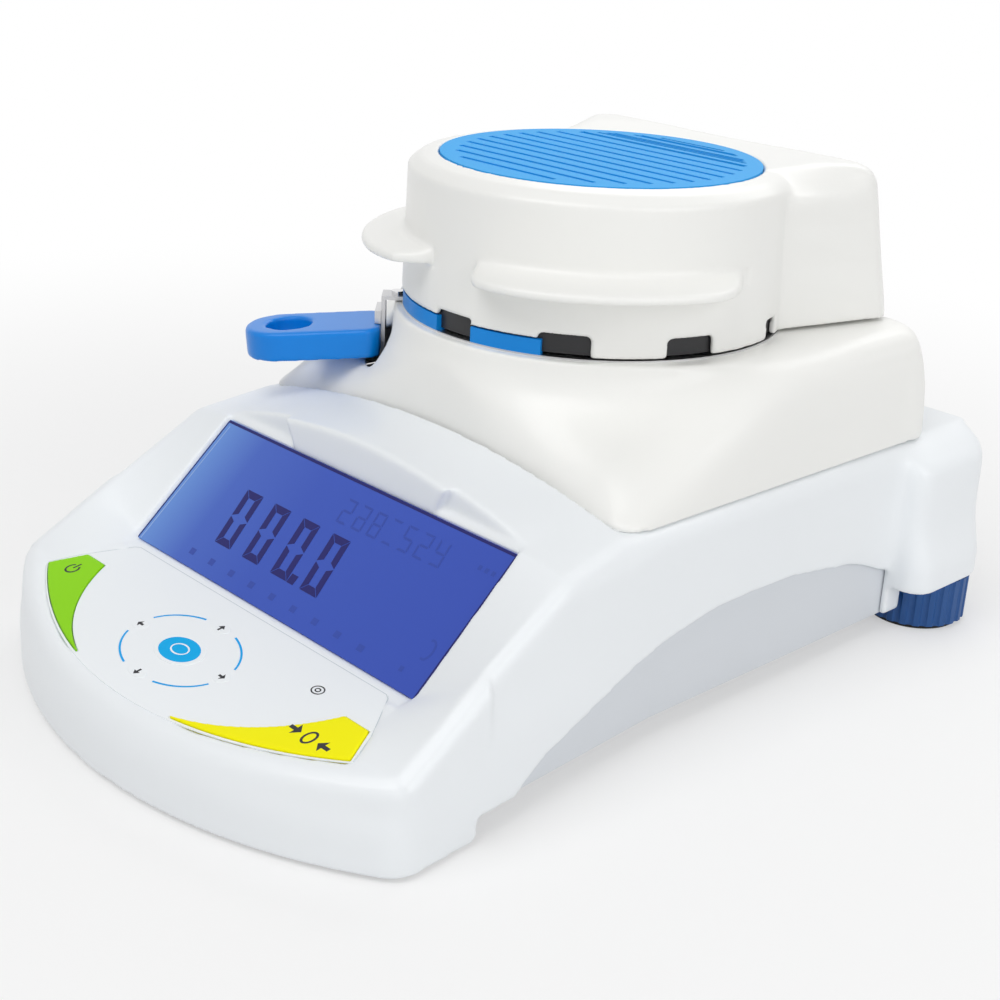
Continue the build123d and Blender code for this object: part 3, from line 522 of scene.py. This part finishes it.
def deck_shape(x, y, z):
    """Fill the hollows between skirt, ramp and arch, widen the flanks, square the rear corners."""
    side = 1 if x > 0 else -1
    ax = abs(x)
    r = lid_polar(x, y)[0]
    boss = along(DECK_BOSS, r)
    ramp = along(DECK_RAMP, y - SHIFT_Y)
    saddle = ARCH[0] - ARCH[1] * (ax / ARCH_X) ** 2
    hard = max(boss, ramp, saddle)
    soft = min(DECK_TOP, soft_max(soft_max(boss, ramp, 30.0), saddle, 26.0))
    if z > DECK_LOW and r > 70:
        near = smoothstep(z, hard - 14, hard - 7)
        edge = smoothstep(DECK_HALF - ax, 0, 12) * smoothstep(y - SHIFT_Y, RAMP_Y, RAMP_Y + 10)
        z += (soft - hard) * near * edge
    have = along(DECK_HAVE, z)
    wide = along(DECK_WANT, z)
    if ax > FLANK_X:
        ax += (wide - have) * smoothstep(ax, FLANK_X, have - 4) * smoothstep(y, *FLANK_Y)
    p = (ax - (wide - CORNER)) / CORNER
    q = (y - (DECK_REAR - CORNER)) / CORNER
    if p > 0 and q > 0:
        reach = math.hypot(p, q)
        push = 1.0 / ((p / reach) ** SQUARE + (q / reach) ** SQUARE) ** (1 / SQUARE)
        f = 1 + (push - 1) * min(1.0, reach)
        ax = wide - CORNER + p * f * CORNER
        y = DECK_REAR - CORNER + q * f * CORNER
    return side * ax, y, z


def deck_weight(x, y, z):
    """The deck's open faces, but hardly its rear corners."""
    r = lid_polar(x, y)[0]
    return smoothstep(r, 79, 92) * smoothstep(z, 83.5, 90) * (1 - 0.96 * smoothstep(y, 70, 105))


deck = moulded(("deck_cover",), "deck", 1.0,
               (lambda o: reshape(o, deck_shape), lambda o: ease(o, 500, deck_weight), lambda o: ease(o, 8)),
               0.35)
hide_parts("deck_cover")


# The housing: its rear pillars drawn in, and the foot of the front wall made one face

# The pillars reach out from PILLAR_X behind PILLAR_Y, keep their feet and lose depth up to a height
PILLAR_X = 104.0
PILLAR_Y = -100.0
PILLAR_Z = (30.0, 50.0)
PILLAR_SHARE = 0.72


def housing_shape(x, y, z):
    """Draw the pillars in towards the side wall above their feet."""
    if abs(x) > PILLAR_X and z > PILLAR_Z[0] and y > PILLAR_Y:
        k = smoothstep(z, *PILLAR_Z)
        x = math.copysign(abs(x) - (abs(x) - PILLAR_X) * (1 - PILLAR_SHARE) * k, x)
    return x, y, z


def wall_weight(x, y, z):
    """The band of the front wall where its cap meets its base."""
    return smoothstep(z, 7, 14) * (1 - smoothstep(z, 24, 31)) * smoothstep(-y, 105, 118)


def pillar_weight(x, y, z):
    """The inner corner where a rear pillar leaves the side wall."""
    return smoothstep(abs(x), 97, 102) * smoothstep(z, 30, 44) * smoothstep(y, 84, 100)


housing = moulded(("upper_housing",), "housing", 0.9,
                  (lambda o: reshape(o, housing_shape), lambda o: ease(o, 160, wall_weight),
                   lambda o: ease(o, 220, pillar_weight), lambda o: ease(o, 12)), 0.35)
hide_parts("upper_housing")
grip = moulded(("lifter_handle",), "handle", 0.7, (lambda o: ease(o, 12),), 0.6)
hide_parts("lifter_handle")


# Strips for prints

PRINT_T = 0.03
FIGURE_T = 0.05
# Least lift of a print off what it lies on
CLEAR = 0.01


def turned_up(points):
    """The outline run anticlockwise, so that its plate faces out."""
    count = len(points)
    area = sum(points[i][0] * points[(i + 1) % count][1] - points[(i + 1) % count][0] * points[i][1]
               for i in range(count))
    return points[::-1] if area < 0 else points


def lifted(plane, height):
    """The panel's place, raised by a height in millimetres."""
    return plane @ Matrix.Translation((0, 0, height * MM))


def arc_band(bm, place, cx, cy, a, b, start, end, width, steps=24):
    """A thin printed arc of an ellipse, from a start to an end angle."""
    rows = []
    for grow in (width / 2, -width / 2):
        row = []
        for k in range(steps + 1):
            t = math.radians(start + (end - start) * k / steps)
            row.append((cx + (a + grow) * math.cos(t), cy + (b + grow) * math.sin(t)))
        rows.append(row)
    outer, inner = rows
    for k in range(steps):
        plate(bm, turned_up([outer[k], outer[k + 1], inner[k + 1], inner[k]]), place, PRINT_T)


# Display figures

SLANT = -0.13
FIGURE_LIFT = -0.28
ZERO = "abcdef"
GHOSTS = ("abdeg", "abcdeg", "abcdefg", "ad", "acdfg", "abdeg", "bcdfg")


def segment_shapes(w, h, t, gap):
    """Outlines of the seven bars of a figure w wide and h high, with bars t thick."""
    m = h / 2
    b = t / 2
    inset = t * 0.15
    return {
        "a": [(gap, h), (w - gap, h), (w - t - gap, h - t), (t + gap, h - t)],
        "g": [(gap + inset, m), (t + gap, m + b), (w - t - gap, m + b), (w - gap - inset, m),
              (w - t - gap, m - b), (t + gap, m - b)],
        "d": [(t + gap, t), (w - t - gap, t), (w - gap, 0), (gap, 0)],
        "f": [(0, h - gap), (t, h - t - gap), (t, m + b + gap), (0, m + gap)],
        "b": [(w, h - gap), (w, m + gap), (w - t, m + b + gap), (w - t, h - t - gap)],
        "e": [(0, m - gap), (t, m - b - gap), (t, t + gap), (0, gap)],
        "c": [(w, m - gap), (w, gap), (w - t, t + gap), (w - t, m - b - gap)],
    }


def figure(bm, place, bars, x, y, marks, thickness):
    """One slanted figure made of the bars named in marks."""
    for mark in marks:
        plate(bm, turned_up([(x + px + SLANT * py, y + py) for px, py in bars[mark]]), place, thickness)


def square(bm, place, x, y, w, h, thickness):
    plate(bm, [(x, y), (x + w, y), (x + w, y + h), (x, y + h)], place, thickness)


def digits(x, y, w, h, t, pitch):
    """Four noughts with a point before the last."""
    bm = bmesh.new()
    place = lifted(DISPLAY, FIGURE_LIFT)
    bars = segment_shapes(w, h, t, t * 0.07)
    for i in range(4):
        figure(bm, place, bars, x + i * pitch, y, ZERO, FIGURE_T)
    r = t * 0.62
    square(bm, place, x + 3 * pitch - (pitch - w) / 2 - 2 * r, y - 0.1, 2 * r, 2 * r + 0.1, FIGURE_T)
    mesh_object("display_digits", bm, M["segment"], "base")


def ghost_marks():
    """Faint unlit figures and pointers of the liquid-crystal face."""
    bm = bmesh.new()
    bars = segment_shapes(5.4, 10.0, 0.9, 0.2)
    place = lifted(DISPLAY, FIGURE_LIFT)
    for i, marks in enumerate(GHOSTS):
        figure(bm, place, bars, 2 + i * 8.2, 11.5 + i * 0.2, marks, PRINT_T)
    for i in range(9):
        square(bm, place, -52 + i * 12.5, -24.5, 3.0, 2.5, PRINT_T)
    for i in range(3):
        square(bm, place, 71 + i * 3.2, 18.6, 1.6, 1.8, PRINT_T)
    square(bm, place, 69.0, -23.4, 1.8, 2.0, PRINT_T)
    arc_band(bm, place, 74.6, -12.8, 2.2, 3.6, -110, 120, 0.9)
    mesh_object("display_ghosts", bm, M["ghost"], "base")


digits(-44.0, -16.0, 9.8, 23.4, 2.9, 17.4)
ghost_marks()


# Prints on the keypad sheet

SHEET_LIFT = 0.02
CAP_LIFT = 0.69
NAV = (-1.5, 1.0)
RING_AXES = (26.0, 17.8)


def nav_ring():
    """The broken ring round the enter key."""
    bm = bmesh.new()
    place = lifted(KEYPAD, SHEET_LIFT)
    for start, end in ((17, 70), (110, 163), (197, 250), (290, 343)):
        arc_band(bm, place, *NAV, *RING_AXES, start, end, 0.8)
    mesh_object("nav_ring", bm, M["print"], "base")


nav_ring()


ARROW = ((0.0, 0.55), (-0.55, 0.0), (-0.16, 0.0), (-0.16, -0.55), (0.16, -0.55), (0.16, 0.0), (0.55, 0.0))


def arrow(bm, place, x, y, turn, size):
    """A small solid arrow head with a short shaft."""
    c = math.cos(math.radians(turn))
    s = math.sin(math.radians(turn))
    head = [(x + size * (px * c - py * s), y + size * (px * s + py * c)) for px, py in ARROW]
    plate(bm, head, place, PRINT_T)


def drawn_in(points, amount):
    """The outline moved inwards, for points that run anticlockwise."""
    out = []
    count = len(points)
    for i in range(count):
        ax, ay = points[i - 1]
        bx, by = points[(i + 1) % count]
        span = math.hypot(bx - ax, by - ay)
        out.append((points[i][0] - amount * (by - ay) / span, points[i][1] + amount * (bx - ax) / span))
    return out


def key_cap(node, outline, material, top):
    """A key's cap: upright sides, a small rounded edge and a flat top."""
    bm = bmesh.new()
    rows = []
    for z, inset in ((-0.4, 0.0), (top - 0.14, 0.0), (top - 0.04, 0.06), (top, 0.16)):
        points = drawn_in(outline, inset) if inset else outline
        rows.append([bm.verts.new(KEYPAD @ (Vector((x, y, z)) * MM)) for x, y in points])
    count = len(outline)
    for low, high in zip(rows, rows[1:]):
        for i in range(count):
            j = (i + 1) % count
            bm.faces.new((low[i], low[j], high[j], high[i]))
    bmesh.ops.triangulate(bm, faces=[bm.faces.new(list(reversed(rows[0]))), bm.faces.new(rows[-1])])
    cap = mesh_object(node + "_cap", bm, material, node + "_body")
    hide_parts(node)


def oval(x, y, a, b, count=48):
    """Outline of an ellipse."""
    turns = [math.tau * k / count for k in range(count)]
    return [(x + a * math.cos(t), y + b * math.sin(t)) for t in turns]


ENTER_TOP = 0.2
FLUSH_TOP = 0.16
# Direction keys: name, place from the ring's middle, turn of the arrow, half axes of the cap
DIRECTIONS = (("key_up", 0, 17, 0, 4.55, 2.35), ("key_down", 0, -17, 180, 4.55, 2.35),
              ("key_left", -25, 0, 90, 3.45, 2.95), ("key_right", 25, 0, -90, 3.45, 2.95))


def keys():
    """Two crescent keys, the round enter key, and four direction keys level with the sheet."""
    for node, finish in (("key_green", "green"), ("key_yellow", "yellow")):
        cap = moulded((node,), finish, 0.35, (lambda o: ease(o, 12),), 0.3)
        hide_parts(node)
    key_cap("key_enter", oval(*NAV, 11.5, 7.7), M["overlay"], ENTER_TOP)
    for key, dx, dy, turn, a, b in DIRECTIONS:
        key_cap(key, oval(NAV[0] + dx, NAV[1] + dy, a, b, 32), M["overlay"], FLUSH_TOP)


keys()


def key_symbols():
    """Plain arrows on the four direction keys and round marks on the others."""
    for key, dx, dy, turn, a, b in DIRECTIONS:
        bm = bmesh.new()
        arrow(bm, lifted(KEYPAD, FLUSH_TOP + CLEAR), NAV[0] + dx, NAV[1] + dy, turn, 2.9)
        mesh_object(key + "_symbol", bm, M["ink"], key + "_body")
    cap = lifted(KEYPAD, CAP_LIFT)
    bm = bmesh.new()
    arrow(bm, cap, 66.5, -0.5, -90, 5.0)
    arrow(bm, cap, 80.5, -0.5, 90, 5.0)
    arc_band(bm, cap, 73.5, -0.5, 2.0, 2.9, 0, 360, 0.9, 32)
    mesh_object("key_yellow_symbol", bm, M["ink"], "key_yellow_body")
    bm = bmesh.new()
    arc_band(bm, cap, -79.5, 4.5, 2.6, 2.6, 120, 420, 0.8, 32)
    square(bm, cap, -79.9, 4.8, 0.8, 3.6, PRINT_T)
    mesh_object("key_green_symbol", bm, M["ink"], "key_green_body")
    bm = bmesh.new()
    plate(bm, oval(NAV[0], NAV[1] - 0.2, 9.3, 6.2), lifted(KEYPAD, ENTER_TOP + CLEAR), PRINT_T)
    mesh_object("key_enter_print", bm, M["key_blue"], "key_enter_body")
    bm = bmesh.new()
    arc_band(bm, lifted(KEYPAD, ENTER_TOP + 0.05), *NAV, 4.0, 2.6, 0, 360, 0.6, 32)
    mesh_object("key_enter_symbol", bm, M["overlay"], "key_enter_body")
    bm = bmesh.new()
    sheet = lifted(KEYPAD, SHEET_LIFT)
    arc_band(bm, sheet, 54.3, 17.4, 2.5, 2.0, 0, 360, 0.5, 32)
    arc_band(bm, sheet, 54.3, 17.4, 1.0, 0.8, 0, 360, 0.5)
    mesh_object("sheet_mark", bm, M["ink"], "base")


key_symbols()


SHEET_EDGE = ((92.6, 1.6), (87.2, 12.9), (75.6, 29.2), (73.4, 30.4), (-73.4, 30.4), (-75.6, 29.2),
              (-87.2, 12.9), (-92.6, 1.6))
LINE_HALF = 0.16
LINE_T = 0.02


def sheet_line():
    """Fine grey line just inside the edge of the keypad's sheet."""
    bm = bmesh.new()
    place = lifted(KEYPAD, SHEET_LIFT)
    for (x0, y0), (x1, y1) in zip(SHEET_EDGE, SHEET_EDGE[1:]):
        span = math.hypot(x1 - x0, y1 - y0)
        nx = -LINE_HALF * (y1 - y0) / span
        ny = LINE_HALF * (x1 - x0) / span
        strip = [(x0 - nx, y0 - ny), (x1 - nx, y1 - ny), (x1 + nx, y1 + ny), (x0 + nx, y0 + ny)]
        plate(bm, strip, place, LINE_T)
    mesh_object("sheet_line", bm, M["fine_line"], "base")


sheet_line()


def display_edge():
    """Dark edge of the liquid-crystal face on three sides, and the bright strip beside its lamp."""
    place = lifted(DISPLAY, FIGURE_LIFT + CLEAR)
    bm = bmesh.new()
    for x, y, w, h in ((-82.2, 27.8, 164.4, 1.1), (-82.2, -28.9, 0.6, 56.7), (81.5, -28.9, 0.7, 56.7)):
        square(bm, place, x, y, w, h, PRINT_T)
    mesh_object("display_edge", bm, M["segment"], "base")
    bm = bmesh.new()
    plate(bm, [(-80.6, -28.7), (-80.0, -28.7), (-79.4, 26.6), (-79.9, 26.6)], place, PRINT_T)
    mesh_object("display_gleam", bm, M["gleam"], "base")


display_edge()


# Painted shade: a dark sheet just inside the lid's wall, standing for the shaded hollow seen through its rim
# notches

SHADE_SHEET_R = (71.0, 71.9)
SHADE_SHEET_Z = (126.6, 137.4)
SHADE_SHEET_ANGLES = (-70, 120)
SHADE_SHEET_STEPS = 160


# Painted shade: black faces that darken what shows through the lid's rim notches
def notch_shade_sheet():
    bm = bmesh.new()
    rows = []
    corners = ((SHADE_SHEET_R[1], SHADE_SHEET_Z[0]), (SHADE_SHEET_R[1], SHADE_SHEET_Z[1]), (SHADE_SHEET_R[0], SHADE_SHEET_Z[1]),
               (SHADE_SHEET_R[0], SHADE_SHEET_Z[0]))
    for k in range(SHADE_SHEET_STEPS):
        angle = SHADE_SHEET_ANGLES[0] + (SHADE_SHEET_ANGLES[1] - SHADE_SHEET_ANGLES[0]) * k / (SHADE_SHEET_STEPS - 1)
        row = []
        for r, z in corners:
            x, y = lid_point(r, angle)
            row.append(bm.verts.new((x * MM, y * MM, z * MM)))
        rows.append(row)
    for near, far in zip(rows, rows[1:]):
        for j in range(4):
            i = (j + 1) % 4
            bm.faces.new((near[j], near[i], far[i], far[j]))
    bm.faces.new(rows[0])
    bm.faces.new(rows[-1][::-1])
    bmesh.ops.recalc_face_normals(bm, faces=bm.faces)
    mesh_object("notch_shade_sheet", bm, M["socket"], "lid")


notch_shade_sheet()


# Camera, at the photograph's viewing angle

AZIMUTH = 46.07
ELEVATION = 21.77
ROLL = 2.75
DISTANCE = 636.73
TARGET = (4.03, -3.11 + SHIFT_Y, 56.19)
SENSOR = 36.0
# Focal length in pixels of the 1000-pixel picture
FOCAL = 1641.72


def camera():
    az = math.radians(AZIMUTH)
    el = math.radians(ELEVATION)
    roll = math.radians(ROLL)
    back = Vector((math.sin(az) * math.cos(el), -math.cos(az) * math.cos(el), math.sin(el)))
    level_right = Vector((math.cos(az), math.sin(az), 0))
    level_up = back.cross(level_right)
    right = math.cos(roll) * level_right + math.sin(roll) * level_up
    up = -math.sin(roll) * level_right + math.cos(roll) * level_up
    place = Vector(TARGET) * MM + back * DISTANCE * MM
    data = bpy.data.cameras.new("camera")
    data.sensor_width = SENSOR
    data.lens = FOCAL / 1000.0 * SENSOR
    data.clip_start = 0.01
    obj = bpy.data.objects.new("camera", data)
    turn = Matrix((right, up, back)).transposed().to_4x4()
    obj.matrix_world = Matrix.Translation(place) @ turn
    bpy.context.scene.collection.objects.link(obj)
    bpy.context.scene.camera = obj


camera()


# Floor, light and background

FLOOR_HALF = 4.0
FLOOR_NEAR = 0.20
FLOOR_FAR = 0.70
FLOOR_LEAST = 0.45
SKY_LIGHT = 0.40


def floor_material():
    """Pale matt floor that keeps the shadow, and turns to plain white further out for the eye alone."""
    mat = new_material("floor_white", (0.90, 0.90, 0.90), rough=0.8, vary=0.0, spec=0.1)
    nt = mat.node_tree
    coords = nt.nodes["Texture Coordinate"]
    reach = nt.nodes.new("ShaderNodeVectorMath")
    reach.operation = "LENGTH"
    nt.links.new(coords.outputs["Object"], reach.inputs[0])
    fade = nt.nodes.new("ShaderNodeMapRange")
    fade.interpolation_type = "SMOOTHSTEP"
    fade.inputs["From Min"].default_value = FLOOR_NEAR
    fade.inputs["From Max"].default_value = FLOOR_FAR
    fade.inputs["To Min"].default_value = FLOOR_LEAST
    nt.links.new(reach.outputs["Value"], fade.inputs["Value"])
    share = nt.nodes.new("ShaderNodeMath")
    share.operation = "MULTIPLY"
    nt.links.new(fade.outputs["Result"], share.inputs[0])
    nt.links.new(seen_rays(nt), share.inputs[1])
    white = nt.nodes.new("ShaderNodeEmission")
    mix = nt.nodes.new("ShaderNodeMixShader")
    nt.links.new(share.outputs[0], mix.inputs[0])
    nt.links.new(nt.nodes["Principled BSDF"].outputs[0], mix.inputs[1])
    nt.links.new(white.outputs[0], mix.inputs[2])
    nt.links.new(mix.outputs[0], nt.nodes["Material Output"].inputs["Surface"])
    return mat


def seen_rays(nt):
    """One for rays from the eye, directly or by way of gloss or glass."""
    path = nt.nodes.new("ShaderNodeLightPath")
    last = path.outputs["Is Camera Ray"]
    for kind in ("Is Glossy Ray", "Is Transmission Ray"):
        both = nt.nodes.new("ShaderNodeMath")
        both.operation = "MAXIMUM"
        nt.links.new(last, both.inputs[0])
        nt.links.new(path.outputs[kind], both.inputs[1])
        last = both.outputs[0]
    return last


def floor():
    bm = bmesh.new()
    bmesh.ops.create_grid(bm, x_segments=1, y_segments=1, size=FLOOR_HALF)
    data = bpy.data.meshes.new("floor")
    bm.to_mesh(data)
    bm.free()
    obj = bpy.data.objects.new("floor", data)
    bpy.context.scene.collection.objects.link(obj)
    data.materials.append(floor_material())


floor()


def area_light(name, place, aim, size, power):
    """A soft white lamp at a place, turned to what it lights; metres and watts."""
    data = bpy.data.lights.new(name, "AREA")
    data.shape = "RECTANGLE"
    data.size = size[0]
    data.size_y = size[1]
    data.energy = power
    obj = bpy.data.objects.new(name, data)
    obj.location = place
    obj.rotation_euler = (Vector(aim) - Vector(place)).to_track_quat("-Z", "Y").to_euler()
    bpy.context.scene.collection.objects.link(obj)


area_light("key_light", (0.1, -0.9, 1.5), (0, 0, 0.06), (1.2, 1.0), 11.0)
area_light("fill_light", (1.4, -0.1, 0.7), (0, 0, 0.08), (1.2, 1.0), 6.4)
area_light("back_light", (-0.4, 1.0, 1.1), (0, 0, 0.1), (1.2, 0.8), 5)

world = bpy.data.worlds.new("world")
bpy.context.scene.world = world
world.use_nodes = True
wt = world.node_tree
sky = wt.nodes["Background"]
sky.inputs["Color"].default_value = (1, 1, 1, 1)
level = wt.nodes.new("ShaderNodeMapRange")
level.inputs["To Min"].default_value = SKY_LIGHT
level.inputs["To Max"].default_value = 1.0
wt.links.new(seen_rays(wt), level.inputs["Value"])
wt.links.new(level.outputs["Result"], sky.inputs["Strength"])

bpy.context.scene.view_settings.view_transform = "Standard"
